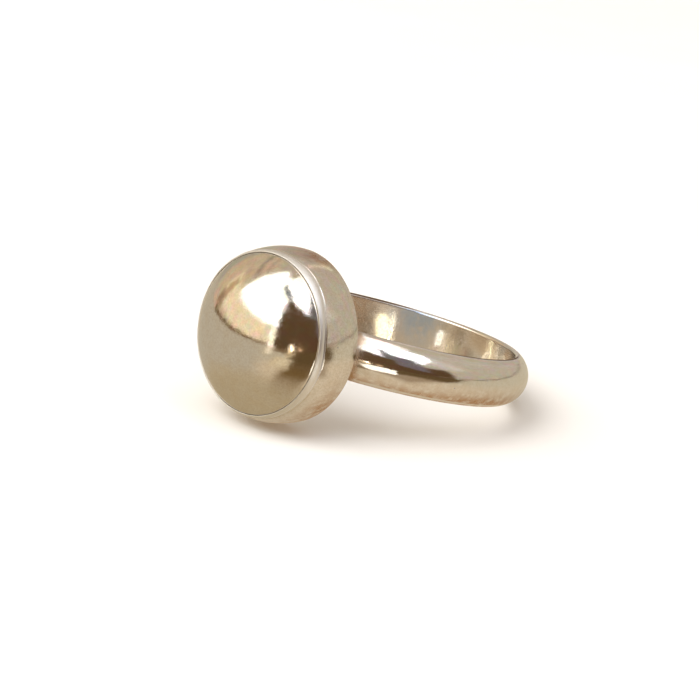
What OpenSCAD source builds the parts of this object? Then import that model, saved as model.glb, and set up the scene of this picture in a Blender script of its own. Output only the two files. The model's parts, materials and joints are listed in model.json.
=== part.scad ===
// Cabochon ring lying on its side.
// The ring is drawn upright in its own frame: finger axis along Z, setting axis along -Y,
// origin at the middle of the finger hole. It is then tipped onto the two places it rests on.

/* [Shank] */
// Diameter of the finger hole
finger_hole_d = 17.3; // [15:0.1:21]
// Width of the half-round band along the finger
band_w = 3.1; // [2.4:0.1:4]
// Thickness of the band at the crown of its half round
band_t = 1.2; // [1:0.05:1.6]
// Radius of the band's two softened edges
band_edge_r = 0.2; // [0.1:0.05:0.3]

/* [Back plate] */
// Metal that the flat filed on the band leaves between the finger hole and the plate
flat_metal = 0.3; // [0.25:0.05:0.6]
// Thickness of the plate
plate_t = 0.85; // [0.6:0.05:1.2]
// Bevel on the plate's back edge
plate_bevel = 0.1; // [0.05:0.01:0.2]
// Angle by which the setting droops from square to the band, as it was soldered
setting_droop = 2; // [0:0.5:4]

/* [Bezel] */
// Height from the plate's back face to the outer edge of the rim
bezel_h = 2.75; // [2.2:0.05:4]
// Thickness of the bezel wall where it stands on the plate
bezel_wall = 0.38; // [0.3:0.01:0.7]
// How far the side of the bezel swells past a straight line
bezel_swell = 0.17; // [0.05:0.01:0.3]
// Width of the burnished rim, seen from the front
rim_w = 0.18; // [0.12:0.01:0.4]
// Rise of the burnished rim from its outer to its inner edge
rim_rise = 0.34; // [0.15:0.01:0.45]
// How far the rim is pushed in over the cabochon's side
rim_push = 0.06; // [0.02:0.01:0.15]
// Height of the wall that leans in with the rim
rim_lean_h = 0.9; // [0.5:0.05:1.4]

/* [Cabochon] */
// Diameter of the cabochon at its girdle
cabochon_d = 10; // [8:0.1:13]
// Height of the dome above the rim
dome_h = 2.3; // [1.6:0.05:3.5]
// Bevel on the edge of the flat back
base_bevel = 0.15; // [0.05:0.05:0.3]
// Clearance between the cabochon and the metal round it
setting_gap = 0.04; // [0.02:0.01:0.1]

/* [Hidden] */
$fn = 180;

// Finger hole and band section, as radii from the finger axis
hole_r = finger_hole_d / 2;
edge_centre_r = hole_r + band_edge_r;
edge_centre_z = band_w / 2 - band_edge_r;
crown_r = (pow(band_t - band_edge_r, 2) + pow(edge_centre_z, 2) - pow(band_edge_r, 2))
    / (2 * (band_t - 2 * band_edge_r));
crown_centre_r = hole_r + band_t - crown_r;
crown_half_angle = atan2(edge_centre_z, edge_centre_r - crown_centre_r);

// Heights along the setting axis, from the middle of the finger hole
plate_back = hole_r + flat_metal;
seat_floor = plate_back + plate_t;
rim_edge = plate_back + bezel_h;
seam = rim_edge + rim_rise;
lean_start = seam - rim_lean_h;

// Radii about the setting axis
girdle_r = cabochon_d / 2;
seat_r = girdle_r + setting_gap;
lip_r = seat_r - rim_push;
rim_edge_r = lip_r + rim_w;
plate_r = seat_r + bezel_wall;
dome_edge_r = lip_r - setting_gap;
dome_r = (pow(dome_edge_r, 2) + pow(dome_h, 2)) / (2 * dome_h);
dome_centre = seam + dome_h - dome_r;

// The side of the bezel is an arc through the plate's back edge and the rim's outer edge
side_chord = norm([bezel_h, plate_r - rim_edge_r]);
side_r = pow(side_chord, 2) / (8 * bezel_swell) + bezel_swell / 2;
side_lean = atan2(plate_r - rim_edge_r, bezel_h);
side_centre_r = (plate_r + rim_edge_r) / 2 - (side_r - bezel_swell) * cos(side_lean);
side_centre = (plate_back + rim_edge) / 2 - (side_r - bezel_swell) * sin(side_lean);

// Where the droop brings a place of the setting: [forward of the finger axis, below it]
function drooped(along, out) = [
    plate_back + (along - plate_back) * cos(setting_droop) - out * sin(setting_droop),
    (along - plate_back) * sin(setting_droop) + out * cos(setting_droop)
];

// Tilt at which a circle of radius round_r about that place and the band's far edge are
// equally low
function tilt_on(place, round_r) =
    acos((band_edge_r - round_r) / norm([place.y - edge_centre_z, place.x + edge_centre_r]))
    - atan2(place.x + edge_centre_r, place.y - edge_centre_z);

// The setting rests on the corner above the plate's bevel, or on the swell of its side
corner = plate_back + plate_bevel;
corner_r = side_centre_r + sqrt(pow(side_r, 2) - pow(corner - side_centre, 2));
corner_lean = asin((side_centre - corner) / side_r) + setting_droop;
swell_tilt = tilt_on(drooped(side_centre, side_centre_r), side_r);
corner_tilt = tilt_on(drooped(corner, corner_r), 0);
rest_tilt = swell_tilt < corner_lean ? swell_tilt : corner_tilt;

// Reach of the tipped ring below and to both sides of the middle of the finger hole
reach_down = edge_centre_z * cos(rest_tilt) + edge_centre_r * sin(rest_tilt) + band_edge_r;
reach_front = drooped(dome_centre, 0) * [cos(rest_tilt), sin(rest_tilt)] + dome_r;
reach_back = crown_centre_r * cos(rest_tilt) + crown_r;

// A cut runs this far past the metal that it cuts
past = 1;

// Section of the half-round band: flat inside, softened edges, crowned outside
module band_section() {
    wedge = 2 * crown_r;
    wedge_x = wedge * cos(crown_half_angle);
    wedge_y = wedge * sin(crown_half_angle);
    intersection() {
        translate([crown_centre_r, 0]) circle(r = crown_r);
        translate([crown_centre_r, 0])
            polygon([[0, 0], [wedge_x, -wedge_y], [wedge, -wedge_y], [wedge, wedge_y], [wedge_x, wedge_y]]);
        translate([hole_r, -band_w / 2]) square([band_t + past, band_w]);
    }
    translate([hole_r, -edge_centre_z]) square([band_edge_r, 2 * edge_centre_z]);
    for (side = [-1, 1])
        translate([edge_centre_r, side * edge_centre_z]) circle(r = band_edge_r);
}

// Turns what is drawn round Z into what stands round the drooping setting axis
module on_setting_axis() {
    translate([0, -plate_back, 0])
        rotate([90 + setting_droop, 0, 0])
            translate([0, 0, -plate_back])
                children();
}

// Half-round band, filed off inside the plate so that it never reaches the seat
module shank() {
    color("silver")
        difference() {
            rotate_extrude() band_section();
            on_setting_axis()
                translate([0, 0, plate_back + plate_t / 2])
                    cylinder(r = plate_r + band_t + past, h = band_t + past);
        }
}

// Outline of plate and bezel before the seat is cut
module setting_section() {
    rim_slope = rim_rise / rim_w;
    wide = plate_r + bezel_swell + past;
    intersection() {
        polygon([
            [0, plate_back],
            [plate_r - plate_bevel, plate_back],
            [plate_r - plate_bevel + past, plate_back + past],
            [wide, plate_back + past],
            [wide, seam - (wide - lip_r) * rim_slope],
            [lip_r, seam],
            [0, seam]
        ]);
        translate([side_centre_r, side_centre]) circle(r = side_r);
    }
}

// Seat for the cabochon, open at the front
module seat() {
    lean = rim_push / rim_lean_h;
    rotate_extrude()
        polygon([
            [0, seat_floor],
            [seat_r, seat_floor],
            [seat_r, lean_start],
            [lip_r - lean * past, seam + past],
            [0, seam + past]
        ]);
}

// Back plate and bezel wall with its burnished rim
module setting() {
    color("gainsboro")
        on_setting_axis()
            rotate_extrude() setting_section();
}

// Shank and setting, soldered into one
module ring_mount() {
    difference() {
        union() {
            shank();
            setting();
        }
        on_setting_axis() seat();
    }
}

// Flat back, straight girdle, a side that leans in under the rim, and the dome
module cabochon() {
    base = seat_floor + setting_gap;
    color("lightgray")
        on_setting_axis()
            rotate_extrude() {
                polygon([
                    [0, base],
                    [girdle_r - base_bevel, base],
                    [girdle_r, base + base_bevel],
                    [girdle_r, lean_start],
                    [dome_edge_r, seam],
                    [0, seam]
                ]);
                intersection() {
                    translate([0, dome_centre]) circle(r = dome_r);
                    translate([0, seam]) square([girdle_r, dome_h + past]);
                }
            }
}

// Tips the ring onto its two resting places and centres it over the origin
module at_rest() {
    translate([0, (reach_front - reach_back) / 2, reach_down])
        rotate([-rest_tilt, 0, 0])
            children();
}

at_rest() ring_mount();
at_rest() cabochon();
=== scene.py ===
"""A silver cabochon ring lying on its side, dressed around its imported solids."""

import json
import logging
import math
from dataclasses import dataclass, field
from enum import Enum
from typing import Any, Callable, Sequence

import bmesh
import bpy
from mathutils import Matrix, Vector


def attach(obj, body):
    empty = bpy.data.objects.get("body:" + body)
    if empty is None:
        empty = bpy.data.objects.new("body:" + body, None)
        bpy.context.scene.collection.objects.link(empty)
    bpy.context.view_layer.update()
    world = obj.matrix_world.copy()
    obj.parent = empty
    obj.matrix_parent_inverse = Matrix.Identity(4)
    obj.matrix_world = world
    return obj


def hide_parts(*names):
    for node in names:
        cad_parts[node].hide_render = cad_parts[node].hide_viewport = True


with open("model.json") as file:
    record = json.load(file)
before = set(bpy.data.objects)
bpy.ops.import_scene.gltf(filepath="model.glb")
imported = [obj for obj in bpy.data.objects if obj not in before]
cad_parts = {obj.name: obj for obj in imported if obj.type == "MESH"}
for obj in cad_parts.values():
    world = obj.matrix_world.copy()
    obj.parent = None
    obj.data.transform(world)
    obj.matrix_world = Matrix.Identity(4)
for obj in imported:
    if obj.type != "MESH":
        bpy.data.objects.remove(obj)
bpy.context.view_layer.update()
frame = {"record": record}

MM = 0.001
DOUBLES = 0.0005 * MM
BODY = "root"
log = logging.getLogger("ring")


class Slot(Enum):
    """The record's material slots."""

    MOUNT = "mount_silver"
    CABOCHON = "cabochon_metal"


class Mark(Enum):
    """Attributes that a mesh carries from its making to its finish."""

    # Grime and painted shade in crevices, and painted dark reflections along the band's edges
    CREVICE = "crevice"
    STAIN = "stain"
    SATIN = "satin"
    # A painted reflection of the bluish sky, on the wall of the band's hole
    PAINTED_SKY = "painted_sky"


# Frames


@dataclass(frozen=True)
class RingFrame:
    """Where the upright ring of the drawing stands once it lies on its side."""

    centre: Vector
    tilt: float
    hole_r: float

    @classmethod
    def from_record(cls, record: dict[str, Any]) -> "RingFrame":
        """Reads the finger hole's place, axis and radius.

        Args:
            record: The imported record.

        Returns:
            The frame whose Z is the finger axis and whose -Y points to the setting.
        """
        bore = record["mounts"][0]
        axis = Vector(bore["axis"])
        return cls(Vector(bore["pos_m"]), math.atan2(axis.y, axis.z), bore["dims"]["r_mm"] * MM)

    def matrix(self) -> Matrix:
        """Gives the turn and shift from the upright ring to the row frame."""
        return Matrix.Translation(self.centre) @ Matrix.Rotation(-self.tilt, 4, "X")


@dataclass(frozen=True)
class Band:
    """Sizes of the half-round wire that the shank is bent from."""

    ring: RingFrame
    width: float = 3.1 * MM
    thickness: float = 1.2 * MM
    edge_r: float = 0.2 * MM

    @property
    def edge_centre(self) -> tuple[float, float]:
        """Radius and height of the centre of a softened edge."""
        return self.ring.hole_r + self.edge_r, self.width / 2 - self.edge_r

    @property
    def crown_r(self) -> float:
        """Works out the arc across the band's outside, which meets both softened edges.

        Returns:
            Its radius.
        """
        rise = self.thickness - self.edge_r
        half = self.edge_centre[1]
        return (rise ** 2 + half ** 2 - self.edge_r ** 2) / (2 * (rise - self.edge_r))

    @property
    def crown_centre(self) -> float:
        """Distance of that arc's centre from the finger axis."""
        return self.ring.hole_r + self.thickness - self.crown_r

    @property
    def crown_half_angle(self) -> float:
        """Half the angle of that arc, where it runs into the softened edges."""
        out, up = self.edge_centre
        return math.atan2(up, out - self.crown_centre)

    def surface(self, facing: float, off: float = 0.0) -> tuple[float, float]:
        """Finds the place of the outside that faces a given way.

        Args:
            facing: Angle of the surface's normal above the plane of the band.
            off: Distance off the surface.

        Returns:
            Distance from the finger axis and height.
        """
        if abs(facing) <= self.crown_half_angle:
            out, up, radius = self.crown_centre, 0.0, self.crown_r
        else:
            out, up = self.edge_centre
            up = math.copysign(up, facing)
            radius = self.edge_r
        return out + (radius + off) * math.cos(facing), up + (radius + off) * math.sin(facing)


@dataclass(frozen=True)
class Mounting:
    """Sizes shared by the back plate, the bezel and the cabochon, about the setting axis."""

    ring: RingFrame
    flat_metal: float = 0.3 * MM
    plate_t: float = 0.85 * MM
    plate_bevel: float = 0.1 * MM
    droop: float = math.radians(2)
    bezel_h: float = 2.75 * MM
    bezel_wall: float = 0.38 * MM
    bezel_swell: float = 0.17 * MM
    rim_w: float = 0.18 * MM
    rim_rise: float = 0.34 * MM
    rim_push: float = 0.06 * MM
    rim_lean_h: float = 0.9 * MM
    cabochon_r: float = 5.0 * MM
    dome_h: float = 2.3 * MM
    gap: float = 0.04 * MM

    @property
    def plate_back(self) -> float:
        """Distance of the plate's back face from the finger axis."""
        return self.ring.hole_r + self.flat_metal

    @property
    def seat_floor(self) -> float:
        """Height of the face that the cabochon lies on."""
        return self.plate_back + self.plate_t

    @property
    def rim_edge(self) -> float:
        """Height of the burnished rim's outer edge."""
        return self.plate_back + self.bezel_h

    @property
    def seam(self) -> float:
        """Height of the seam between rim and dome."""
        return self.rim_edge + self.rim_rise

    @property
    def seat_r(self) -> float:
        """Radius of the seat."""
        return self.cabochon_r + self.gap

    @property
    def lip_r(self) -> float:
        """Radius of the rim's inner edge."""
        return self.seat_r - self.rim_push

    def matrix(self) -> Matrix:
        """Finds where a piece that is turned about Z stands once it droops on the lying ring.

        Returns:
            Its turn and shift.
        """
        hinge = Vector((0, -self.plate_back, 0))
        return (
            self.ring.matrix()
            @ Matrix.Translation(hinge)
            @ Matrix.Rotation(math.radians(90) + self.droop, 4, "X")
            @ Matrix.Translation((0, 0, -self.plate_back))
        )


# Meshes

# Full painted shade, for a point inside the seat where no light reaches
HIDDEN = 1.0


@dataclass(frozen=True)
class Station:
    """A point of a turned outline: its radius, its height and how deep in a crevice it lies, which sets
    its grime and painted shade.
    """

    r: float
    h: float
    crevice: float = 0.0


def arc(centre: tuple[float, float], radius: float, start: float, end: float,
        steps: int) -> list[Station]:
    """Walks along an arc of a turned outline.

    Args:
        centre: Radius and height of the arc's centre.
        radius: The arc's own radius.
        start: First angle, above the outward direction.
        end: Last angle.
        steps: Number of stretches.

    Returns:
        The points, both ends included.
    """
    r, h = centre
    angles = [start + (end - start) * i / steps for i in range(steps + 1)]
    return [Station(r + radius * math.cos(a), h + radius * math.sin(a)) for a in angles]


def hold(a: Station, b: Station, grip: float) -> list[Station]:
    """Keeps a straight stretch flat when it is shaded smooth.

    Args:
        a: Its first end.
        b: Its last end.
        grip: How far the new points lie from the ends, at most a third of the stretch.

    Returns:
        A point near each end.
    """
    along = Vector((b.r - a.r, b.h - a.h))
    step = along.normalized() * min(grip, along.length / 3)
    return [
        Station(a.r + step.x, a.h + step.y, a.crevice),
        Station(b.r - step.x, b.h - step.y, b.crevice),
    ]


def link(name: str, data: bpy.types.ID) -> bpy.types.Object:
    """Puts a mesh, lamp or camera into the scene.

    Args:
        name: The object's name.
        data: What the object shows.

    Returns:
        The object, at the origin.
    """
    made = bpy.data.objects.new(name, data)
    bpy.context.scene.collection.objects.link(made)
    return made


def write_mark(mesh: bpy.types.Mesh, mark: Mark, strengths: Sequence[float]) -> None:
    """Stores a mark's strength at each point of a mesh."""
    mesh.attributes.new(mark.value, "FLOAT", "POINT").data.foreach_set("value", strengths)


def finish_mesh(name: str, mesh: bpy.types.Mesh) -> bpy.types.Object:
    """Merges doubles, turns the faces outwards and makes an object at the origin.

    Args:
        name: The piece's name.
        mesh: Its mesh, in the row frame.

    Returns:
        The linked object.
    """
    work = bmesh.new()
    work.from_mesh(mesh)
    bmesh.ops.remove_doubles(work, verts=work.verts, dist=DOUBLES)
    bmesh.ops.recalc_face_normals(work, faces=work.faces)
    for face in work.faces:
        face.smooth = True
    work.to_mesh(mesh)
    work.free()
    return link(name, mesh)


@dataclass(frozen=True)
class Spot:
    """A soft stretch round a turned piece, in degrees, which fades to both sides."""

    angle: float
    spread: float
    amount: float

    def at(self, angle: float) -> float:
        """Gives its amount at an angle in degrees."""
        off = (angle - self.angle + 180) % 360 - 180
        return self.amount * math.exp(-((off / self.spread) ** 2))


def sum_of(spots: Sequence[Spot], angle: float) -> float:
    """Adds up soft stretches at an angle in radians."""
    return sum(spot.at(math.degrees(angle)) for spot in spots)


Vary = Callable[[float, Station], tuple[float, float]]
Marking = Callable[[float, Station], float]


def lathe(name: str, outline: Sequence[Station], steps: int, place: Matrix,
          vary: Vary | None = None, marks: dict[Mark, Marking] | None = None) -> bpy.types.Object:
    """Turns an outline about Z and places it.

    Args:
        name: The piece's name.
        outline: Points from the axis outwards, and back to the axis where the piece is closed.
        steps: Number of stretches round the axis.
        place: Matrix from the turned piece to the row frame.
        vary: Gives the shift of radius and height at an angle and point, for hand-made edges.
        marks: Gives the strength of each mark at an angle and point.

    Returns:
        The finished object, with its marks as attributes.
    """
    points: list[Vector] = []
    marks = marks or {}
    strengths: dict[Mark, list[float]] = {mark: [] for mark in marks}
    rows: list[list[int]] = []
    for station in outline:
        count = steps if station.r > 0 else 1
        rows.append(list(range(len(points), len(points) + count)))
        for i in range(count):
            angle = 2 * math.pi * i / steps
            dr, dh = vary(angle, station) if vary and count > 1 else (0.0, 0.0)
            r = station.r + dr
            points.append(place @ Vector((r * math.cos(angle), r * math.sin(angle), station.h + dh)))
            for mark, marking in marks.items():
                strengths[mark].append(marking(angle, station))
    faces: list[tuple[int, ...]] = []
    for low, high in zip(rows, rows[1:]):
        for i in range(steps):
            j = (i + 1) % steps
            if len(low) == 1:
                faces.append((low[0], high[j], high[i]))
            elif len(high) == 1:
                faces.append((low[i], low[j], high[0]))
            else:
                faces.append((low[i], low[j], high[j], high[i]))
    mesh = bpy.data.meshes.new(name)
    mesh.from_pydata(points, [], faces)
    for mark, values in strengths.items():
        write_mark(mesh, mark, values)
    return finish_mesh(name, mesh)


# Node trees


class Graph:
    """Adds nodes to a tree and joins them."""

    def __init__(self, tree: bpy.types.NodeTree) -> None:
        """Takes over a tree and empties it."""
        self.tree = tree
        tree.nodes.clear()

    def add(self, kind: str, inputs: dict[str | int, Any] | None = None,
            **settings: Any) -> bpy.types.Node:
        """Adds a node.

        Args:
            kind: The node's type.
            inputs: Value, node or socket for each input, by name or number.
            settings: The node's own properties.

        Returns:
            The node.
        """
        node = self.tree.nodes.new(kind)
        for key, value in settings.items():
            setattr(node, key, value)
        for key, value in (inputs or {}).items():
            socket = node.inputs[key]
            if isinstance(value, bpy.types.Node):
                value = value.outputs[0]
            if isinstance(value, bpy.types.NodeSocket):
                self.tree.links.new(value, socket)
            else:
                socket.default_value = value
        return node

    def math(self, operation: str, *values: Any, clamp: bool = False) -> bpy.types.Node:
        """Adds a Math node with its inputs in order."""
        return self.add("ShaderNodeMath", dict(enumerate(values)), operation=operation, use_clamp=clamp)

    def vector_math(self, operation: str, *values: Any) -> bpy.types.Node:
        """Adds a Vector Math node with its inputs in order."""
        return self.add("ShaderNodeVectorMath", dict(enumerate(values)), operation=operation)

    def noise(self, vector: Any, scale: Any, detail: float = 2.0,
              roughness: float = 0.5) -> bpy.types.Node:
        """Adds a Noise Texture."""
        return self.add(
            "ShaderNodeTexNoise",
            {"Vector": vector, "Scale": scale, "Detail": detail, "Roughness": roughness},
        )

    def ramp(self, value: Any, low: float, high: float,
             to_low: float = 0.0, to_high: float = 1.0) -> bpy.types.Node:
        """Adds a smooth, clamped Map Range."""
        return self.add(
            "ShaderNodeMapRange",
            {0: value, 1: low, 2: high, 3: to_low, 4: to_high},
            interpolation_type="SMOOTHSTEP",
        )

    def rise_at(self, value: Any, edge: float, softness: float) -> bpy.types.Node:
        """Adds a smooth rise from 0 to 1 in the middle of a soft edge."""
        return self.ramp(value, edge - softness / 2, edge + softness / 2)

    def fall_at(self, value: Any, edge: float, softness: float) -> bpy.types.Node:
        """Adds a smooth fall from 1 to 0 in the middle of a soft edge."""
        return self.ramp(value, edge - softness / 2, edge + softness / 2, 1.0, 0.0)

    def blend(self, share: Any, first: Any, second: Any) -> bpy.types.NodeSocket:
        """Mixes two colours.

        Args:
            share: How much of the second shows.
            first: Colour, node or socket.
            second: Colour, node or socket.

        Returns:
            The mixed colour's socket.
        """
        node = self.tree.nodes.new("ShaderNodeMix")
        node.data_type = "RGBA"
        by_name = {s.identifier: s for s in node.inputs}
        for key, value in (("Factor_Float", share), ("A_Color", first), ("B_Color", second)):
            if isinstance(value, bpy.types.Node):
                value = value.outputs[0]
            if isinstance(value, bpy.types.NodeSocket):
                self.tree.links.new(value, by_name[key])
            else:
                by_name[key].default_value = value if isinstance(value, float) else (*value, 1.0)
        return next(s for s in node.outputs if s.identifier == "Result_Color")


def new_material(name: str) -> tuple[bpy.types.Material, Graph]:
    """Makes an empty material.

    Args:
        name: Its name.

    Returns:
        The material, and the graph of its tree.
    """
    made = bpy.data.materials.new(name)
    made.use_nodes = True
    return made, Graph(made.node_tree)


# Finishes

Colour = tuple[float, float, float]


@dataclass(frozen=True)
class Cloud:
    """A noise cut off softly at a low and a high value, so that it comes and goes in patches."""

    scale: float
    low: float
    high: float
    detail: float = 4.0
    roughness: float = 0.5

    def share(self, graph: Graph, at: Any, least: float = 0.0, most: float = 1.0) -> bpy.types.Node:
        """Adds the patches, which run from least to most."""
        noise = graph.noise(at, self.scale, self.detail, self.roughness)
        return graph.ramp(noise, self.low, self.high, least, most)


@dataclass(frozen=True)
class MetalFinish:
    """Silver as a maker leaves it: its colours, its polish and the marks of wear, with painted shade
    and painted reflections carried by its marks.

    Its pattern is laid out in millimetres in the frame that `place` gives.
    """

    name: str
    place: Matrix
    light: Colour
    warm: Colour
    # Colour of grime and painted shade in crevices, of painted dark reflections on the band's edges,
    # and of grime in pits
    dirt_and_shade_colour: Colour = (0.10, 0.06, 0.035)
    stain: Colour = (0.60, 0.38, 0.22)
    dull: Colour = (0.62, 0.50, 0.38)
    satin: Colour = (0.97, 0.95, 0.92)
    # Tint of the painted reflection of the bluish sky
    painted_sky: Colour = (0.58, 0.72, 0.95)
    roughness: float = 0.05
    roughness_worn: float = 0.04
    roughness_scratch: float = 0.10
    roughness_grain: float = 0.3
    roughness_dirt_and_shade: float = 0.35
    roughness_satin: float = 0.34
    swell_size: float = 0.9
    swell_height: float = 0.0035
    ripple_size: float = 0.25
    ripple_height: float = 0.0006
    lines_height: float = 0.0
    lines_stretch: tuple[float, float, float] = (0.4, 0.4, 22.0)
    ribs_height: float = 0.0
    ribs_stretch: tuple[float, float, float] = (3.0, 3.0, 0.15)
    scratch_height: float = 0.0002
    scratch_w: float = 0.012
    scratch_stretch: tuple[float, float, float] = (1.0, 14.0, 0.5)
    scratch_sets: tuple[tuple[float, float], ...] = ((0.4, 1.1), (1.7, 0.8), (2.6, 1.4))
    scratch_pitch: float = 0.7
    scratched: Cloud = Cloud(0.7, 0.45, 0.65, 2.0)
    worn: Cloud = Cloud(1.6, 0.35, 0.7)
    stained: Cloud = Cloud(2.0, 0.25, 0.62, 4.0, 0.55)
    stain_dirt: float = 0.4
    # Patches of the painted sky reflection, and their least share
    painted_sky_patches: Cloud = Cloud(1.3, 0.3, 0.6, 5.0, 0.7)
    painted_sky_least: float = 0.35
    grain: float = 0.16
    grainy: Cloud = Cloud(1 / 0.13, 0.35, 0.7, 2.0, 0.7)
    pit_spacing: float = 1.1
    pit_r: float = 0.055
    pit_floor: float = 0.6
    pit_dirt: float = 0.7
    pit_depth: float = 0.01

    def pits(self, graph: Graph, at: bpy.types.Node) -> bpy.types.Node:
        """Adds sparse round pits.

        Args:
            graph: The material's graph.
            at: Coordinates in millimetres.

        Returns:
            A node that is 1 in a pit and 0 beside it.
        """
        cells = graph.add(
            "ShaderNodeTexVoronoi",
            {"Vector": at, "Scale": 1 / self.pit_spacing},
            feature="F1",
        )
        reach = self.pit_r / self.pit_spacing
        return graph.ramp(cells.outputs["Distance"], reach * self.pit_floor, reach, 1.0, 0.0)

    def coordinates(self, graph: Graph) -> bpy.types.Node:
        """Brings the object coordinates to the finish's own frame.

        Args:
            graph: The material's graph.

        Returns:
            A node that gives them in millimetres.
        """
        there = graph.add("ShaderNodeTexCoord")
        return graph.add(
            "ShaderNodeMapping",
            {
                "Vector": there.outputs["Object"],
                "Location": self.place.translation,
                "Rotation": self.place.to_euler(),
                "Scale": (MM, MM, MM),
            },
            vector_type="TEXTURE",
        )

    def scratches(self, graph: Graph, at: bpy.types.Node) -> bpy.types.Node:
        """Adds a few sets of hair-fine scratches that cross each other.

        Args:
            graph: The material's graph.
            at: Coordinates in millimetres.

        Returns:
            A node that is 1 on a scratch and 0 off it.
        """
        total: Any = 0.0
        for turn, size in self.scratch_sets:
            scale = tuple(size * stretch for stretch in self.scratch_stretch)
            laid = graph.add(
                "ShaderNodeMapping",
                {"Vector": at, "Rotation": (turn, turn * self.scratch_pitch, turn), "Scale": scale},
            )
            off_line = graph.math("SUBTRACT", graph.noise(laid, 1.0, 3.0, 0.6), 0.5)
            line = graph.ramp(graph.math("ABSOLUTE", off_line), 0.0, self.scratch_w, 1.0, 0.0)
            total = graph.math("MAXIMUM", total, line)
        return graph.math("MULTIPLY", total, self.scratched.share(graph, at))

    def material(self) -> bpy.types.Material:
        """Builds the finish.

        Returns:
            The material.
        """
        made, graph = new_material(self.name)
        at = self.coordinates(graph)
        marks = {
            mark: graph.add("ShaderNodeAttribute", attribute_name=mark.value).outputs["Fac"]
            for mark in Mark
        }
        scratched = self.scratches(graph, at)
        pitted = self.pits(graph, at)
        worn = self.worn.share(graph, at)
        grainy = self.grainy.share(graph, at, 0.0, self.grain)
        # Patches of the painted sky reflection
        sky_patch_share = self.painted_sky_patches.share(graph, at, self.painted_sky_least)
        painted_sky_patches = graph.math("MULTIPLY", marks[Mark.PAINTED_SKY], sky_patch_share, clamp=True)
        blotches = self.stained.share(graph, at)
        stained = graph.math("MULTIPLY", marks[Mark.STAIN], blotches, clamp=True)
        in_pits = graph.math("MULTIPLY", pitted, self.pit_dirt)
        # Grime and painted shade in crevices, painted dark reflections on the band's edges, and grime
        # in the pits
        dark = graph.math("MAXIMUM", marks[Mark.CREVICE], in_pits, clamp=True)
        dirt_and_shade_share = graph.math("MAXIMUM", dark, graph.math("MULTIPLY", stained, self.stain_dirt))

        colour: Any = self.light
        for share, over in (
            (worn, self.warm),
            (grainy, self.dull),
            (marks[Mark.SATIN], self.satin),
            (painted_sky_patches, self.painted_sky),
            (stained, self.stain),
            (dark, self.dirt_and_shade_colour),
        ):
            colour = graph.blend(share, colour, over)

        polish: Any = self.roughness
        for share, rougher in (
            (worn, self.roughness_worn),
            (grainy, self.roughness_grain),
            (scratched, self.roughness_scratch),
            (dirt_and_shade_share, self.roughness_dirt_and_shade),
            (marks[Mark.SATIN], self.roughness_satin),
        ):
            polish = graph.math("MULTIPLY_ADD", share, rougher, polish)

        height: Any = 0.0
        for share, rise in (
            (graph.noise(at, 1 / self.swell_size, 1.0), self.swell_height),
            (graph.noise(at, 1 / self.ripple_size, 2.0), self.ripple_height),
            (scratched, -self.scratch_height),
            (pitted, -self.pit_depth),
        ):
            height = graph.math("MULTIPLY_ADD", share, rise, height)
        for stretch, rise in (
            (self.lines_stretch, self.lines_height),
            (self.ribs_stretch, self.ribs_height),
        ):
            if rise:
                drawn = graph.add("ShaderNodeMapping", {"Vector": at, "Scale": stretch})
                ridges = graph.noise(drawn, 1.0, 4.0, 0.6)
                height = graph.math("MULTIPLY_ADD", ridges, rise, height)
        bump = graph.add("ShaderNodeBump", {"Height": height, "Strength": 1.0, "Distance": MM})

        # Where the painted shade and grime lie, the metal gives way to a dark non-metal
        shader = graph.add(
            "ShaderNodeBsdfPrincipled",
            {
                "Base Color": colour,
                "Metallic": graph.math("SUBTRACT", 1.0, dark),
                "Roughness": polish,
                "Specular IOR Level": 0.0,
                "Normal": bump,
            },
        )
        graph.add("ShaderNodeOutputMaterial", {"Surface": shader})
        return made


# Pieces


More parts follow.
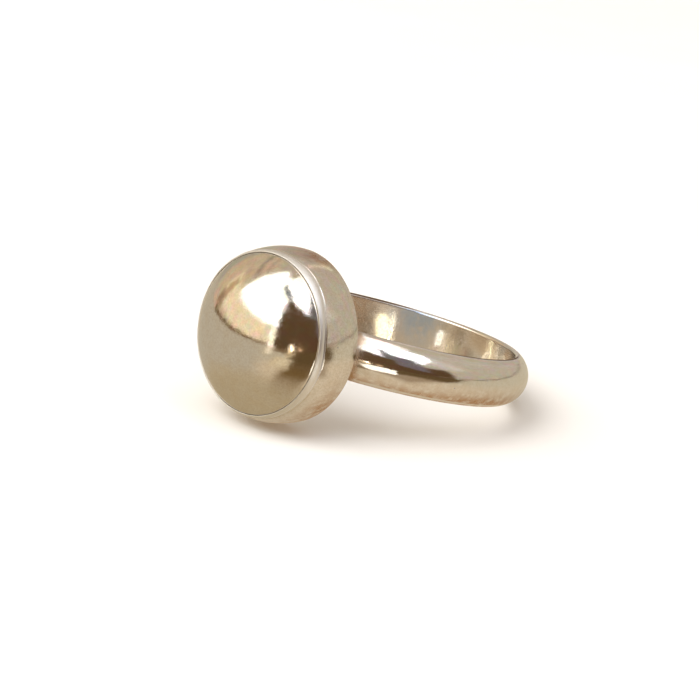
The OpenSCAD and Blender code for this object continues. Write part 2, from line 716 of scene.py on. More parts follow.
@dataclass
class Shank:
    """The half-round band, swept round the finger hole."""

    band: Band
    steps: int = 360
    unevenness: float = 0.004 * MM
    unevenness_scale: float = 160.0
    edge_steps: int = 10
    crown_steps: int = 36
    grip: float = 0.02 * MM
    wall_reach: float = 0.03 * MM
    wall_lean: float = 12.0
    marks: tuple[tuple[Mark, Spot, Spot], ...] = (
        # The first two are painted dark lines along the band's top edge, standing in for its
        # reflections and shade; the third darkens the band where it meets the plate
        (Mark.CREVICE, Spot(136, 19, 2.4), Spot(114, 31, 1.0)),
        (Mark.CREVICE, Spot(-2, 38, 2.0), Spot(92, 30, 1.0)),
        (Mark.CREVICE, Spot(-65, 4, 1.0), Spot(0, 140, 1.0)),
        (Mark.SATIN, Spot(-61, 3, 0.6), Spot(0, 100, 1.0)),
        (Mark.STAIN, Spot(-61, 4, 1.0), Spot(0, 100, 1.0)),
        # A painted reflection of the bluish sky on the hole's wall
        (Mark.PAINTED_SKY, Spot(114, 10, 1.5), Spot(164, 20, 1.0)),
        (Mark.STAIN, Spot(146, 14, 0.7), Spot(180, 40, 1.0)),
        (Mark.STAIN, Spot(4, 26, 1.6), Spot(-56, 32, 1.0)),
        (Mark.STAIN, Spot(-40, 30, 1.0), Spot(-60, 24, 1.0)),
    )

    def strength(self, mark: Mark, place: Vector) -> float:
        """Gives the strength of a mark, from its stretches round the band and across its section.

        Args:
            mark: The mark.
            place: A point of the upright band.

        Returns:
            The strength there.
        """
        out, up = self.band.edge_centre
        past = math.hypot(place.x, place.y) - out
        above = place.z - math.copysign(up, place.z)
        if abs(place.z) < up and past < 0:
            facing = 180.0 - self.wall_lean * place.z / up
        elif abs(place.z) < up:
            facing = math.degrees(math.atan2(place.z, past + out - self.band.crown_centre))
        else:
            facing = math.degrees(math.atan2(above, past))
        around = math.degrees(math.atan2(place.y, place.x))
        return sum(a.at(around) * b.at(facing) for kind, a, b in self.marks if kind is mark)

    def section(self) -> list[Station]:
        """Draws the band's section.

        Returns:
            Its points, as distances from the finger axis and heights.
        """
        band = self.band
        out, up = band.edge_centre
        half = band.crown_half_angle
        low = arc((out, -up), band.edge_r, -math.pi, -half, self.edge_steps)
        crown = arc((band.crown_centre, 0.0), band.crown_r, -half, half, self.crown_steps)
        high = arc((out, up), band.edge_r, half, math.pi, self.edge_steps)
        inside = hold(high[-1], low[0], self.grip)
        return [*low, *crown[1:-1], *high, *inside]

    def section_curve(self) -> bpy.types.Object:
        """Makes the section a closed curve for the sweep.

        Returns:
            The curve, whose origin is on the hole's wall.
        """
        outline = self.section()
        curve = bpy.data.curves.new("band_section", "CURVE")
        spline = curve.splines.new("POLY")
        spline.points.add(len(outline) - 1)
        for point, station in zip(spline.points, outline):
            point.co = (station.r - self.band.ring.hole_r, station.h, 0.0, 1.0)
        spline.use_cyclic_u = True
        return bpy.data.objects.new("band_section", curve)

    def tree(self) -> bpy.types.NodeTree:
        """Builds the tree that sweeps a section round a circle and leaves it slightly uneven.

        Returns:
            The tree, with named inputs.
        """
        tree = bpy.data.node_groups.new("bent_band", "GeometryNodeTree")
        for name, kind in (
            ("Section", "NodeSocketObject"),
            ("Hole Radius", "NodeSocketFloat"),
            ("Steps", "NodeSocketInt"),
            ("Unevenness", "NodeSocketFloat"),
            ("Unevenness Scale", "NodeSocketFloat"),
            ("Wall Reach", "NodeSocketFloat"),
            ("Outside", "NodeSocketMaterial"),
            ("Inside", "NodeSocketMaterial"),
        ):
            tree.interface.new_socket(name, in_out="INPUT", socket_type=kind)
        tree.interface.new_socket("Band", in_out="OUTPUT", socket_type="NodeSocketGeometry")
        graph = Graph(tree)
        given = graph.add("NodeGroupInput").outputs
        path = graph.add(
            "GeometryNodeCurvePrimitiveCircle",
            {"Resolution": given["Steps"], "Radius": given["Hole Radius"]},
        )
        section = graph.add("GeometryNodeObjectInfo", {"Object": given["Section"]})
        swept = graph.add(
            "GeometryNodeCurveToMesh",
            {"Curve": path, "Profile Curve": section.outputs["Geometry"]},
        )
        place = graph.add("GeometryNodeInputPosition")
        noise = graph.noise(place, given["Unevenness Scale"], 1.0)
        swing = graph.math("SUBTRACT", noise, 0.5)
        amount = graph.math("MULTIPLY", swing, given["Unevenness"])
        shift = graph.vector_math("SCALE", graph.add("GeometryNodeInputNormal"))
        tree.links.new(amount.outputs[0], shift.inputs["Scale"])
        moved = graph.add("GeometryNodeSetPosition", {"Geometry": swept, "Offset": shift})
        across = graph.vector_math("MULTIPLY", place, (1.0, 1.0, 0.0))
        radius = graph.vector_math("LENGTH", across).outputs["Value"]
        reach = graph.math("ADD", given["Hole Radius"], given["Wall Reach"])
        on_wall = graph.math("LESS_THAN", radius, reach)
        real = graph.add("GeometryNodeRealizeInstances", {"Geometry": moved})
        outside = graph.add(
            "GeometryNodeSetMaterial",
            {"Geometry": real, "Material": given["Outside"]},
        )
        inside = graph.add(
            "GeometryNodeSetMaterial",
            {"Geometry": outside, "Selection": on_wall, "Material": given["Inside"]},
        )
        graph.add("NodeGroupOutput", {0: inside})
        return tree

    def make(self, outside: MetalFinish, inside: MetalFinish) -> bpy.types.Object:
        """Sweeps the band and lays it down.

        Args:
            outside: Finish of the crown and the edges.
            inside: Finish of the hole's wall.

        Returns:
            The shank.
        """
        section = self.section_curve()
        carrier = link("band_sweep", bpy.data.meshes.new("band_sweep"))
        tree = self.tree()
        values = {
            "Section": section,
            "Hole Radius": self.band.ring.hole_r,
            "Steps": self.steps,
            "Unevenness": self.unevenness,
            "Unevenness Scale": self.unevenness_scale,
            "Wall Reach": self.wall_reach,
            "Outside": outside.material(),
            "Inside": inside.material(),
        }
        sweep = carrier.modifiers.new("sweep", "NODES")
        sweep.node_group = tree
        for item in tree.interface.items_tree:
            if item.name in values:
                sweep[item.identifier] = values[item.name]
        evaluated = carrier.evaluated_get(bpy.context.evaluated_depsgraph_get())
        mesh = bpy.data.meshes.new_from_object(evaluated)
        for mark in Mark:
            write_mark(mesh, mark, [self.strength(mark, vertex.co) for vertex in mesh.vertices])
        mesh.transform(self.band.ring.matrix())
        bpy.data.objects.remove(carrier)
        bpy.data.objects.remove(section)
        return finish_mesh("shank", mesh)


@dataclass
class Setting:
    """The back plate and the bezel wall, whose rim is burnished over the cabochon."""

    mounting: Mounting
    steps: int = 288
    side_steps: int = 26
    bevel_steps: int = 6
    rim_steps: int = 16
    lip_steps: int = 8
    lip_start: float = math.radians(48)
    lip_r: float = 0.045 * MM
    rim_crown: float = 0.035 * MM
    rim_lead: float = 0.85
    crease_w: float = 0.14 * MM
    crease_depth: float = 0.01 * MM
    crease_shares: tuple[float, float] = (0.7, 0.3)
    crease_mark: float = 0.9
    rim_wander: float = 0.012 * MM
    rim_sideways: float = 0.3
    rim_waves: tuple[tuple[int, float, float], ...] = ((3, 0.8, 1.0), (7, 2.1, 0.7), (13, 0.0, 0.5))
    grip: float = 0.03 * MM
    # Grime and painted shade in the crease below the rim and at the lip
    crease_dirt_and_shade: tuple[Spot, ...] = (Spot(9, 20, 1.0),)
    lip_dirt_and_shade: tuple[Spot, ...] = (Spot(-65, 35, 0.5), Spot(110, 40, 0.2))
    rim_dips: tuple[Spot, ...] = (Spot(56, 24, 0.2), Spot(15, 14, -0.08), Spot(-20, 16, 0.08))
    foot_reddening: tuple[Spot, ...] = (Spot(-46, 22, 1.1), Spot(-84, 20, 0.7), Spot(76, 14, 1.0))
    foot_reddening_h: tuple[float, float] = (0.9 * MM, 2.2 * MM)
    clean_back: float = 0.85
    dip_reach: float = 0.9 * MM
    side_slope: float = 0.34

    def side(self) -> list[Station]:
        """Draws the bezel's swelling side.

        Returns:
            Its points, from the plate's bevel to the crease below the rim.
        """
        m = self.mounting
        foot_r = m.seat_r + m.bezel_wall
        rim_r = m.lip_r + m.rim_w
        chord = math.hypot(m.bezel_h, foot_r - rim_r)
        radius = chord ** 2 / (8 * m.bezel_swell) + m.bezel_swell / 2
        lean = math.atan2(foot_r - rim_r, m.bezel_h)
        back = radius - m.bezel_swell
        centre = (
            (foot_r + rim_r) / 2 - back * math.cos(lean),
            (m.plate_back + m.rim_edge) / 2 - back * math.sin(lean),
        )
        start = math.asin((m.plate_back + m.plate_bevel - centre[1]) / radius)
        end = math.asin((m.rim_edge - self.crease_w - centre[1]) / radius)
        return arc(centre, radius, start, end, self.side_steps)

    def rim(self) -> list[Station]:
        """Draws the crease below the rim, the rim's soft crown and its lip.

        Returns:
            Their points, up to the seam with the cabochon.
        """
        m = self.mounting
        edge = Station(m.lip_r + m.rim_w, m.rim_edge)
        crease = []
        for share in self.crease_shares:
            below = self.crease_w * share
            r = edge.r + self.side_slope * below - self.crease_depth
            crease.append(Station(r, m.rim_edge - below, self.crease_mark))
        lip_centre = (m.lip_r + self.lip_r, m.seam - self.lip_r)
        lip = arc(lip_centre, self.lip_r, self.lip_start, math.pi, self.lip_steps)
        along = Vector((lip[0].r - edge.r, lip[0].h - edge.h))
        out = Vector((along.y, -along.x)).normalized()
        crown = []
        for i in range(self.rim_steps):
            share = i / self.rim_steps
            early = share ** self.rim_lead
            place = along * share + out * self.rim_crown * 4 * early * (1 - early)
            crown.append(Station(edge.r + place.x, edge.h + place.y))
        deep = [Station(s.r, s.h, max(0.0, 2 * i / len(lip) - 1)) for i, s in enumerate(lip)]
        return [*crease, *crown, *deep]

    def outline(self) -> list[Station]:
        """Draws the whole turned outline.

        Returns:
            Its points, from the middle of the plate's back round to the seat's middle.
        """
        m = self.mounting
        side = self.side()
        bevel = m.plate_bevel
        back_edge = Station(side[0].r - bevel, m.plate_back)
        middle = Station(0.0, m.plate_back)
        turn = arc((back_edge.r, m.plate_back + bevel), bevel, -math.pi / 2, 0.0, self.bevel_steps)
        first, last = hold(middle, back_edge, self.grip)
        clean = Station(m.seat_r * self.clean_back, m.plate_back)
        seat_edge = Station(m.seat_r, m.seat_floor, HIDDEN)
        lean_start = Station(m.seat_r, m.seam - m.rim_lean_h, HIDDEN)
        return [
            middle, first, clean, last, back_edge, *turn[1:-1], *side, *self.rim(),
            lean_start, seat_edge, Station(0.0, m.seat_floor, HIDDEN),
        ]

    def wander(self, angle: float, station: Station) -> tuple[float, float]:
        """Lets the rim wander a little, as a burnisher leaves it.

        Args:
            angle: Angle round the setting.
            station: A point of the outline.

        Returns:
            How far it is shifted outwards and upwards.
        """
        m = self.mounting
        if station.crevice == HIDDEN or station.r < m.seat_r - m.rim_push:
            return 0.0, 0.0
        above = station.h - m.rim_edge
        share = max(0.0, min(1.0, (above + self.crease_w) / m.rim_rise))
        waves = [amount * math.sin(times * angle + start) for times, start, amount in self.rim_waves]
        swing = self.rim_wander * share * sum(waves)
        near = max(0.0, 1 - above / m.rim_rise if above > 0 else 1 + above / self.dip_reach)
        dip = sum_of(self.rim_dips, angle) * MM * near
        return self.rim_sideways * swing + self.side_slope * dip, swing - dip

    def dirt_and_shade(self, angle: float, station: Station) -> float:
        """Gives the grime and painted shade in the crease below the rim and at the lip, which comes and
        goes.

        Args:
            angle: Angle round the setting.
            station: A point of the outline.

        Returns:
            Its strength.
        """
        if not 0 < station.crevice < HIDDEN:
            return station.crevice
        spots = self.crease_dirt_and_shade if station.h < self.mounting.rim_edge else self.lip_dirt_and_shade
        return station.crevice * min(1.0, sum_of(spots, angle))

    def stain(self, angle: float, station: Station) -> float:
        """Gives the reddish colour low on the side, which ends just past the plate's back edge.

        Args:
            angle: Angle round the setting.
            station: A point of the outline.

        Returns:
            Its strength.
        """
        if station.crevice > 0 or station.r < self.mounting.seat_r:
            return 0.0
        above = station.h - self.mounting.plate_back
        low, high = self.foot_reddening_h
        fade = max(0.0, min(1.0, (high - above) / (high - low)))
        return fade * min(1.0, sum_of(self.foot_reddening, angle))

    def satin(self, angle: float, station: Station) -> float:
        """Tells whether a place is on the rim, which the burnisher leaves satin."""
        above = station.h - self.mounting.rim_edge
        return float(above > -self.crease_w / 2 and station.r > self.mounting.lip_r)

    def make(self, finish: MetalFinish) -> bpy.types.Object:
        """Turns the setting and lays it down.

        Args:
            finish: Its finish.

        Returns:
            The setting.
        """
        piece = lathe(
            "setting", self.outline(), self.steps, self.mounting.matrix(), self.wander,
            {Mark.CREVICE: self.dirt_and_shade, Mark.STAIN: self.stain, Mark.SATIN: self.satin},
        )
        piece.data.materials.append(finish.material())
        return piece


@dataclass
class SolderFillet:
    """The solder that fills the corner between the band and the plate's back.

    Its face is what a ball leaves that rolls round the joint and touches both.
    """

    band: Band
    mounting: Mounting
    ball_r: float = 0.2 * MM
    turns: int = 64
    across: int = 8
    sunk: float = 0.12 * MM
    halvings: int = 40
    furthest: float = math.radians(162)

    def plate_normal(self) -> Vector:
        """Gives the direction in which the plate's back faces, in the upright ring's frame."""
        return Vector((0, math.cos(self.mounting.droop), math.sin(self.mounting.droop)))

    def ball_y(self, height: float) -> float:
        """Finds how far forward the ball's centre lies at a height."""
        normal = self.plate_normal()
        return -self.mounting.plate_back + (self.ball_r - height * normal.z) / normal.y

    def side_reach(self, facing: float) -> float:
        """Gives the square of the ball's distance from the middle, below 0 past the band's edge."""
        out, up = self.band.surface(facing, self.ball_r)
        return out ** 2 - self.ball_y(up) ** 2

    def last_facing(self, sign: int) -> float:
        """Finds the facing at which the ball crosses the middle, by halving.

        Args:
            sign: 1 for the band's upper edge, -1 for its lower one.

        Returns:
            The angle of the band's normal above its plane.
        """
        low, high = 0.0, self.furthest
        for _ in range(self.halvings):
            mid = (low + high) / 2
            if self.side_reach(sign * mid) > 0:
                low = mid
            else:
                high = mid
        return sign * low

    def rows(self) -> list[list[Vector]]:
        """Draws the solder's section at each place of the ball.

        Returns:
            The sections, all the way round, each from the plate to the band and back inside.
        """
        top, bottom = self.last_facing(1), self.last_facing(-1)
        plate = -self.plate_normal()
        rows = []
        for side in (1, -1):
            for i in range(self.turns):
                share = (1 - math.cos(math.pi * i / self.turns)) / 2
                facing = top + (bottom - top) * (share if side > 0 else 1 - share)
                out, up = self.band.surface(facing, self.ball_r)
                y = self.ball_y(up)
                x = side * math.sqrt(max(0.0, out ** 2 - y ** 2))
                centre = Vector((x, y, up))
                flat = math.cos(facing) / out
                band = -Vector((x * flat, y * flat, math.sin(facing)))
                face = [
                    centre + self.ball_r * plate.slerp(band, k / self.across)
                    for k in range(self.across + 1)
                ]
                inner = centre + (plate + band) * (self.ball_r + self.sunk)
                rows.append([*face, inner])
        return rows

    def make(self, finish: MetalFinish) -> bpy.types.Object:
        """Lays the solder round the joint.

        Args:
            finish: Its finish.

        Returns:
            The solder.
        """
        rows = self.rows()
        place = self.band.ring.matrix()
        width = len(rows[0])
        points = [place @ p for row in rows for p in row]
        faces = []
        for i in range(len(rows)):
            here, there = i * width, (i + 1) % len(rows) * width
            for k in range(width):
                after = (k + 1) % width
                faces.append((here + k, here + after, there + after, there + k))
        mesh = bpy.data.meshes.new("solder")
        mesh.from_pydata(points, [], faces)
        edge = [1.0 if k in (0, self.across) else 0.0 for _ in rows for k in range(width)]
        write_mark(mesh, Mark.STAIN, edge)
        piece = finish_mesh("solder", mesh)
        piece.data.materials.append(finish.material())
        return piece


@dataclass
class Cabochon:
    """The domed metal cabochon."""

    mounting: Mounting
    steps: int = 288
    dome_steps: int = 54
    edge_r: float = 0.28 * MM
    edge_steps: int = 12
    # Grime and painted shade along the dome's edge, at its seam with the rim
    dirt_and_shade_steps: int = 4
    dirt_and_shade_mark: float = 0.99
    base_bevel: float = 0.15 * MM
    seam_gap: float = 0.02 * MM
    edge_dirt_and_shade: tuple[Spot, ...] = (Spot(-66, 44, 0.9), Spot(110, 30, 0.4))

    def outline(self) -> list[Station]:
        """Draws the whole turned outline.

        Returns:
            Its points, from the middle of the flat back over the side to the dome's top.
        """
        m = self.mounting
        base = m.seat_floor + m.gap
        edge = m.lip_r - self.seam_gap
        radius = (edge ** 2 + m.dome_h ** 2) / (2 * m.dome_h)
        centre = m.seam + m.dome_h - radius
        lean = math.atan2(m.cabochon_r - edge, m.rim_lean_h)
        inner = radius - self.edge_r
        turn_r = edge - self.edge_r * math.cos(lean)
        turn_h = centre + math.sqrt(inner ** 2 - turn_r ** 2)
        start = math.atan2(turn_h - centre, turn_r)
        turn = arc((turn_r, turn_h), self.edge_r, lean, start, self.edge_steps)
        dome = arc((0.0, centre), radius, start, math.pi / 2, self.dome_steps)
        dirt_and_shade_share = [max(0.0, self.dirt_and_shade_mark - i / self.dirt_and_shade_steps) for i in range(len(turn))]
        return [
            Station(0.0, base, HIDDEN),
            Station(m.cabochon_r - self.base_bevel, base, HIDDEN),
            Station(m.cabochon_r, base + self.base_bevel, HIDDEN),
            Station(m.cabochon_r, m.seam - m.rim_lean_h, HIDDEN),
            *[Station(s.r, s.h, mark) for s, mark in zip(turn, dirt_and_shade_share)],
            *dome[1:-1],
            Station(0.0, m.seam + m.dome_h),
        ]

    def dirt_and_shade(self, angle: float, station: Station) -> float:
        """Gives the grime and painted shade along the dome's edge, which comes and goes.

        Args:
            angle: Angle round the setting.
            station: A point of the outline.

        Returns:
            Its strength.
        """
        if station.crevice == HIDDEN:
            return HIDDEN
        return station.crevice * min(1.0, sum_of(self.edge_dirt_and_shade, angle))

    def make(self, finish: MetalFinish) -> bpy.types.Object:
        """Turns the cabochon and lays it down.

        Args:
            finish: Its finish.

        Returns:
            The cabochon.
        """
        piece = lathe(
            "cabochon_dome", self.outline(), self.steps, self.mounting.matrix(),
            marks={Mark.CREVICE: self.dirt_and_shade},
        )
        piece.data.materials.append(finish.material())
        return piece


# Studio


@dataclass(frozen=True)
class Panel:
    """A soft-edged panel of light or shade round the ring, in degrees.

    Azimuth runs from +Y towards +X. The panel's top and bottom climb by `climb` per degree of
    azimuth, and its sides close in by `taper` per degree of elevation.
    """

    name: str
    azimuth: float
    elevation: float
    width: float
    height: float
    colour: Colour
    softness: float = 3.0
    climb: float = 0.0
    taper: float = 0.0

    def share(self, graph: Graph, azimuth: Any, elevation: Any) -> bpy.types.Node:
        """Works out how much of the panel covers each direction.

        Args:
            graph: The world's graph.
            azimuth: Azimuth of the direction, in degrees.
            elevation: Its elevation, in degrees.

        Returns:
            A node from 0 to 1.
        """
        across = graph.math("SUBTRACT", azimuth, self.azimuth)
        up = graph.math("SUBTRACT", elevation, self.elevation)
        if self.climb:
            up = graph.math("MULTIPLY_ADD", across, -self.climb, up)
        past_side = graph.math("SUBTRACT", graph.math("ABSOLUTE", across), self.width / 2)
        if self.taper:
            past_side = graph.math("MULTIPLY_ADD", up, self.taper, past_side)
        past_end = graph.math("SUBTRACT", graph.math("ABSOLUTE", up), self.height / 2)
        past = graph.math("MAXIMUM", past_side, past_end)
        covered = graph.fall_at(past, 0.0, self.softness)
        covered.label = self.name
        return covered


@dataclass(frozen=True)
class Patch:
    """A soft patch of the table's colour, in degrees and millimetres about its middle."""

    name: str
    azimuth: float
    width: float
    start: float
    end: float
    colour: Colour
    side_softness: float = 10.0
    end_softness: float = 8.0

    def share(self, graph: Graph, azimuth: Any, distance: Any) -> bpy.types.Node:
        """Works out how much of the patch covers each place.

        Args:
            graph: The table's graph.
            azimuth: Azimuth of the place, in degrees.
            distance: Its distance, in millimetres.

        Returns:
            A node from 0 to 1.
        """
        across = graph.math("ABSOLUTE", graph.math("SUBTRACT", azimuth, self.azimuth))
        sides = graph.fall_at(across, self.width / 2, self.side_softness)
        begun = graph.rise_at(distance, self.start, self.end_softness)
        ended = graph.fall_at(distance, self.end, self.end_softness)
        covered = graph.math("MULTIPLY", sides, graph.math("MULTIPLY", begun, ended))
        covered.label = self.name
        return covered


@dataclass(frozen=True)
class Card:
    """A small upright card of light, seen only by the silver, in millimetres and degrees."""

    name: str
    foot: tuple[float, float, float]
    azimuth: float
    width: float
    height: float
    light: Colour
    steps: int = 64
    wobble: float = 0.06
    wobble_waves: tuple[tuple[int, float], ...] = ((5, 1.0), (8, 0.0))
    roundness: float = 0.5

    def make(self) -> None:
        """Cuts the card with round corners and an uneven outline, and stands it up."""
        turn = Matrix.Rotation(-math.radians(self.azimuth), 4, "Z")
        place = Matrix.Translation(Vector(self.foot) * MM) @ turn
        corners = []
        for i in range(self.steps):
            a = 2 * math.pi * i / self.steps
            waves = [math.sin(times * a + start) for times, start in self.wobble_waves]
            reach = 1 + self.wobble * sum(waves)
            across, up = (
                math.copysign(abs(part) ** self.roundness, part) * reach
                for part in (math.cos(a), math.sin(a))
            )
            corner = Vector((across * self.width / 2, 0.0, (up + 1) * self.height / 2))
            corners.append(place @ (corner * MM))
        mesh = bpy.data.meshes.new(self.name)
        mesh.from_pydata(corners, [], [tuple(range(self.steps))])
        card = link(self.name, mesh)
        made, graph = new_material(self.name)
        glow = graph.add("ShaderNodeEmission", {"Color": (*self.light, 1.0), "Strength": 1.0})
        graph.add("ShaderNodeOutputMaterial", {"Surface": glow})
        mesh.materials.append(made)
        card.visible_camera = False
        card.visible_diffuse = False
        card.visible_shadow = False


def azimuth_of(graph: Graph, way: Any, seam: float) -> bpy.types.Node:
    """Adds the azimuth of a direction.

    Args:
        graph: The graph.
        way: The direction's socket.
        seam: Azimuth in the middle of the range, so that the jump is opposite to it.

    Returns:
        The azimuth in degrees, from +Y towards +X.
    """
    ahead, aside = direction(seam, 0), direction(seam + 90, 0)
    along = graph.vector_math("DOT_PRODUCT", way, ahead).outputs["Value"]
    across = graph.vector_math("DOT_PRODUCT", way, aside).outputs["Value"]
    return graph.math("MULTIPLY_ADD", graph.math("ARCTAN2", across, along), math.degrees(1), seam)


@dataclass
class Studio:
    """A pale floor, soft panels all round, and a warm table and cards that only the silver sees; the
    table's colours paint shade and pools of light.

    Each `look` of a noise is its scale, its detail and, where a third is given, its roughness.
    """

    floor_colour: Colour = (0.90, 0.88, 0.85)
    floor_lift: float = 1.03
    floor_mottle: Cloud = Cloud(30.0, 0.3, 0.7, 3.0)
    matt: float = 0.9
    flat_steps: int = 11
    bend_steps: int = 16
    bend_r: float = 0.55
    rim_r: float = 1.35
    rim_h: float = 0.6
    turns: int = 96
    # Painted light on the table: it is lighter near its middle, a painted pool of light, and glows so
    # that the ring's shadow doesn't show on it
    table_near: Colour = (0.61, 0.51, 0.375)
    table_far: Colour = (0.52, 0.46, 0.345)
    table_glow: float = 0.75
    table_light: tuple[float, float] = (13.0, 34.0)
    table_middle: Vector = field(default_factory=lambda: Vector((0.0, -9.8, 0.0)))
    table_lift: float = 0.02 * MM
    table_r: float = 0.8
    table_noise: float = 24.0
    table_noise_look: tuple[float, float] = (0.12, 4.0)
    seam_azimuth: float = 130.0
    horizon: tuple[float, float] = (-1.0, 1.0)
    edge_noise: float = 9.0
    edge_noise_look: tuple[float, float, float] = (11.0, 6.0, 0.7)
    mottle: float = 1.0
    mottle_look: tuple[float, float, float] = (9.0, 6.0, 0.7)
    key_azimuth: float = 208.0
    key_elevation: float = 50.0
    key_distance: float = 0.5
    key_size: float = 0.5
    key_power: float = 1.5
    cards: tuple[Card, ...] = (
        Card("bounce_card", (10.4, -10.05, 2.0), 137, 5.2, 2.5, (1.5, 1.42, 1.25)),
        Card("wide_slip", (-4.67, 7.88, 0.9), 143, 0.62, 1.75, (2.1, 1.95, 1.3)),
        Card("second_slip", (-2.02, 9.38, 1.3), 196, 0.3, 1.1, (1.5, 1.35, 1.1)),
        Card("third_slip", (1.40, 9.94, 0.7), 251, 0.18, 1.4, (1.1, 0.95, 0.72)),
        Card("last_slip", (3.22, 9.67, 0.7), 277, 0.14, 1.4, (1.1, 0.95, 0.7)),
    )
    walls: Colour = (0.50, 0.43, 0.34)
    ground: Colour = (0.44, 0.37, 0.26)
    panels: tuple[Panel, ...] = (
        Panel("sand wall", 250, 24, 78, 76, (0.61, 0.48, 0.34), 12),
        Panel("grey corner", 292, 30, 18, 80, (0.42, 0.38, 0.31), 8),
        Panel("rail", 268, 47, 64, 4, (0.36, 0.29, 0.21), 4, 0.15),
        Panel("beam", 262, 56, 60, 3, (0.44, 0.36, 0.27), 3, 0.1),
        Panel("window", 182, 46, 112, 52, (2.0, 2.0, 1.95), 6, 0.0, 0.1),
        Panel("haze", 68, 46, 26, 38, (0.61, 0.55, 0.50), 14),
        Panel("ceiling", 60, 82, 270, 24, (1.6, 1.55, 1.45), 6),
        Panel("skylight", 100, 63, 96, 60, (1.8, 1.85, 2.0), 4, -0.6),
        Panel("gold sill", 218, 14, 90, 22, (0.97, 0.81, 0.57), 8, 0.12),
        Panel("sill end", 256, 15, 9, 24, (0.58, 0.40, 0.24), 4),
        Panel("sill knob", 259, 8, 10, 9, (0.34, 0.24, 0.15), 4),
        Panel("dark ledge", 218, 0.8, 84, 3.4, (0.19, 0.12, 0.06), 2.0),
        Panel("white post", 171, 9, 7, 20, (1.5, 1.4, 1.15), 3),
        Panel("flag foot", 102, 12, 48, 31, (0.10, 0.055, 0.025), 5, 0.1),
        Panel("flag wing", 114, 34, 34, 34, (0.17, 0.145, 0.155), 5, 0.35),
        Panel("flag tip", 125, 50, 11, 32, (0.17, 0.15, 0.155), 4),
        Panel("flag", 145, 12, 46, 66, (0.11, 0.062, 0.03), 5, 0.45),
        Panel("flag arm", 177, 58, 30, 6, (0.20, 0.19, 0.20), 2.5, 0.3),
        Panel("lamp", 148, 2, 1.6, 8, (11.0, 9.8, 6.8), 1.0),
        Panel("small lamp", 139, 1.5, 4, 4, (0.9, 0.6, 0.4), 2),
        Panel("brown corner", -34, 22, 22, 36, (0.42, 0.33, 0.26), 8),
        Panel("bright slit", -18, 38, 3, 30, (1.1, 0.95, 0.8), 2.5),
        Panel("skirting", 40, 2, 110, 1.4, (0.20, 0.145, 0.095), 1.2),
    )
    # Painted shade and painted light on the table: the dark patches are painted shade, the pale ones
    # painted pools of light, and the brightest a painted glint below the lamp
    patches: tuple[Patch, ...] = (
        Patch("left", 235, 120, 6, 1000, (0.47, 0.42, 0.335), 30, 8),
        Patch("front", 180, 200, -20, 8, (0.44, 0.365, 0.245), 30, 7),
        Patch("dusk", 95, 46, 12, 32, (0.33, 0.25, 0.165), 12, 4),
        Patch("warm shade", 130, 36, 8, 22, (0.17, 0.105, 0.04), 16, 10),
        Patch("near shade", 121, 40, 16, 1000, (0.13, 0.08, 0.035), 14, 14),
        Patch("shade", 107, 78, 26, 1000, (0.11, 0.07, 0.03), 8, 12),
        Patch("far shade", 156, 24, 75, 1000, (0.20, 0.13, 0.07), 8, 40),
        Patch("pool", 151, 18, 16, 36, (0.68, 0.58, 0.41), 6, 8),
        Patch("bright strip", 171, 7, 40, 1000, (0.90, 0.80, 0.62), 3, 10),
        Patch("lamp foot", 148, 2.5, 38, 1000, (1.1, 0.9, 0.55), 2, 10),
    )

    def floor(self) -> None:
        """Makes the floor that the camera sees, which bends up into a backdrop."""
        outline = [Station(self.bend_r * i / self.flat_steps, 0.0) for i in range(self.flat_steps)]
        for i in range(1, self.bend_steps + 1):
            share = i / self.bend_steps
            r = self.bend_r + (self.rim_r - self.bend_r) * share
            outline.append(Station(r, self.rim_h * share ** 2))
        piece = lathe("floor", outline, self.turns, Matrix.Identity(4))
        made, graph = new_material("floor")
        at = graph.add("ShaderNodeTexCoord").outputs["Object"]
        mottle = self.floor_mottle.share(graph, at)
        paler = tuple(min(1.0, part * self.floor_lift) for part in self.floor_colour)
        self.lay(piece, made, graph, graph.blend(mottle, self.floor_colour, paler), 0.0)
        piece.visible_glossy = False

    def table(self) -> None:
        """Makes the table that only polished surfaces see, with painted shade and pools of light on it.
        """
        outline = [Station(0.0, self.table_lift), Station(self.table_r, self.table_lift)]
        piece = lathe("table", outline, self.turns, Matrix.Identity(4))
        made, graph = new_material("table")
        at = graph.add("ShaderNodeTexCoord").outputs["Object"]
        flat = graph.vector_math("MULTIPLY", at, (1 / MM, 1 / MM, 0.0))
        away = graph.vector_math("SUBTRACT", flat, self.table_middle)
        sway = graph.math("SUBTRACT", graph.noise(flat, *self.table_noise_look), 0.5)
        azimuth = azimuth_of(graph, away, self.seam_azimuth)
        azimuth = graph.math("MULTIPLY_ADD", sway, self.table_noise, azimuth)
        distance = graph.vector_math("LENGTH", away).outputs["Value"]
        far = graph.ramp(distance, *self.table_light)
        colour = graph.blend(far, self.table_near, self.table_far)
        for patch in self.patches:
            colour = graph.blend(patch.share(graph, azimuth, distance), colour, patch.colour)
        self.lay(piece, made, graph, colour, self.table_glow)
        piece.visible_camera = False
        piece.visible_diffuse = False

    def lay(self, piece: bpy.types.Object, made: bpy.types.Material, graph: Graph, colour: Any,
            glow: float) -> None:
        """Finishes one of the two ground surfaces.

        Args:
            piece: The surface.
            made: Its material.
            graph: The material's graph.
            colour: Its colour.
            glow: Share of its colour that it gives off as painted light, so that the ring's shadow
                doesn't darken it.
        """
        lit = graph.blend(glow, colour, (0.0, 0.0, 0.0))
        shader = graph.add(
            "ShaderNodeBsdfPrincipled",
            {
                "Base Color": lit,
                "Roughness": self.matt,
                "Specular IOR Level": 0.0,
                "Emission Color": colour,
                "Emission Strength": glow,
            },
        )
        graph.add("ShaderNodeOutputMaterial", {"Surface": shader})
        piece.data.materials.append(made)
        piece.visible_shadow = False

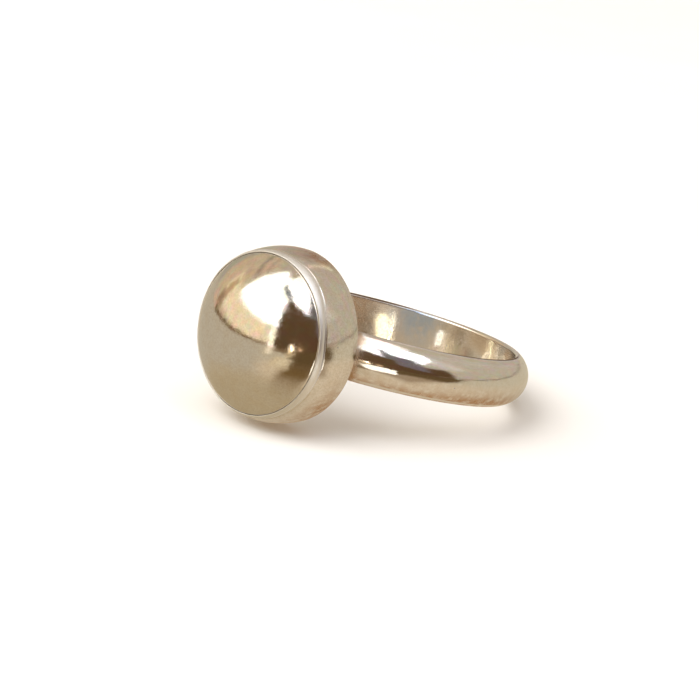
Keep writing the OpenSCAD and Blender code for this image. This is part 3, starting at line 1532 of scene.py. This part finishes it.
    def surroundings(self) -> None:
        """Makes the world: walls, ground and the panels."""
        world = bpy.data.worlds.new("studio")
        bpy.context.scene.world = world
        world.use_nodes = True
        graph = Graph(world.node_tree)
        way = graph.add("ShaderNodeTexCoord").outputs["Generated"]
        height = graph.add("ShaderNodeSeparateXYZ", {0: way}).outputs["Z"]
        noise = graph.noise(way, *self.edge_noise_look).outputs["Color"]
        ragged = graph.add("ShaderNodeSeparateXYZ", {0: noise}).outputs
        azimuth = azimuth_of(graph, way, self.seam_azimuth)
        sway = graph.math("SUBTRACT", ragged[0], 0.5)
        azimuth = graph.math("MULTIPLY_ADD", sway, self.edge_noise, azimuth)
        elevation = graph.math("MULTIPLY", graph.math("ARCSINE", height), math.degrees(1))
        sway = graph.math("SUBTRACT", ragged[1], 0.5)
        elevation = graph.math("MULTIPLY_ADD", sway, self.edge_noise, elevation)
        colour = graph.blend(graph.ramp(elevation, *self.horizon), self.ground, self.walls)
        for panel in self.panels:
            colour = graph.blend(panel.share(graph, azimuth, elevation), colour, panel.colour)
        uneven = graph.noise(way, *self.mottle_look).outputs["Color"]
        swing, least = (self.mottle,) * 3, (1 - self.mottle / 2,) * 3
        mottle = graph.vector_math("MULTIPLY_ADD", uneven, swing, least)
        light = graph.add(
            "ShaderNodeBackground",
            {"Color": graph.vector_math("MULTIPLY", colour, mottle), "Strength": 1.0},
        )
        graph.add("ShaderNodeOutputWorld", {"Surface": light})

    def key_light(self) -> None:
        """Adds the soft light that the floor gets from the window's side."""
        lamp = bpy.data.lights.new("key", "AREA")
        lamp.shape = "DISK"
        lamp.size = self.key_size
        lamp.energy = self.key_power
        key = link("key", lamp)
        away = direction(self.key_azimuth, self.key_elevation) * self.key_distance
        turn = away.to_track_quat("Z", "Y").to_matrix().to_4x4()
        key.matrix_world = Matrix.Translation(away) @ turn
        key.visible_glossy = False

    def make(self) -> None:
        """Sets up floor, table, cards, panels and light."""
        self.floor()
        self.table()
        for card in self.cards:
            card.make()
        self.surroundings()
        self.key_light()
        bpy.context.scene.view_settings.view_transform = "Standard"


def direction(azimuth: float, elevation: float) -> Vector:
    """Gives the unit vector at an azimuth from +Y towards +X and an elevation, in degrees."""
    a, e = math.radians(azimuth), math.radians(elevation)
    return Vector((math.sin(a) * math.cos(e), math.cos(a) * math.cos(e), math.sin(e)))


@dataclass(frozen=True)
class Camera:
    """The photograph's viewpoint, fitted to the outlines of band and bezel."""

    aim: Vector = field(default_factory=lambda: Vector((-1.297, 0.831, 2.691)) * MM)
    azimuth: float = 139.667
    elevation: float = 18.214
    roll: float = -6.952
    distance: float = 150 * MM
    lens: float = 118.86
    sensor: float = 36.0
    sees: tuple[float, float] = (1.5 * MM, 15.0)

    def make(self) -> None:
        """Makes it the scene's camera."""
        lens = bpy.data.cameras.new("camera")
        lens.lens = self.lens
        lens.sensor_width = self.sensor
        lens.clip_start, lens.clip_end = self.sees
        back = direction(self.azimuth, self.elevation)
        level = Vector((0, 0, 1)).cross(back).normalized()
        upright = back.cross(level)
        roll = math.radians(self.roll)
        right = level * math.cos(roll) - upright * math.sin(roll)
        up = level * math.sin(roll) + upright * math.cos(roll)
        camera = link("camera", lens)
        turn = Matrix((right, up, back)).transposed().to_4x4()
        camera.matrix_world = Matrix.Translation(self.aim + back * self.distance) @ turn
        bpy.context.scene.camera = camera


def main() -> None:
    """Builds the ring, its studio and its camera."""
    logging.basicConfig(level=logging.INFO, format="%(message)s")
    ring = RingFrame.from_record(frame["record"])
    band = Band(ring)
    mounting = Mounting(ring)
    about_finger, about_setting = ring.matrix(), mounting.matrix()

    light, warm = (0.94, 0.91, 0.86), (0.92, 0.87, 0.79)
    polished = MetalFinish("polished_silver", about_finger, light, warm, ripple_height=0.002)
    rubbed = MetalFinish(
        "rubbed_silver", about_finger, light, warm,
        roughness=0.08, swell_height=0.004, lines_height=0.0006, ribs_height=0.0025, grain=0.4,
    )
    bezel = MetalFinish(
        "bezel_silver", about_setting, light, warm,
        roughness=0.08, ripple_height=0.002, lines_height=0.0006, lines_stretch=(0.5, 0.5, 14.0),
        grain=0.28,
    )
    solder = MetalFinish(
        "solder", about_finger, (0.60, 0.47, 0.32), (0.34, 0.23, 0.14), roughness=0.3,
    )
    dome = MetalFinish(
        "dome_metal", about_setting, (0.88, 0.83, 0.75), (0.86, 0.79, 0.68),
        swell_height=0.004, ripple_size=0.22, ripple_height=0.0024, grain=0.24,
    )

    pieces = (
        (Shank(band).make(polished, rubbed), Slot.MOUNT, "ring_mount"),
        (Setting(mounting).make(bezel), Slot.MOUNT, "ring_mount"),
        (SolderFillet(band, mounting).make(solder), Slot.MOUNT, "ring_mount"),
        (Cabochon(mounting).make(dome), Slot.CABOCHON, "cabochon"),
    )
    for piece, slot, node in pieces:
        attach(piece, BODY)
        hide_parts(node)
        log.info("%s: %d faces", piece.name, len(piece.data.polygons))

    Studio().make()
    Camera().make()


if __name__ == "__main__":
    main()
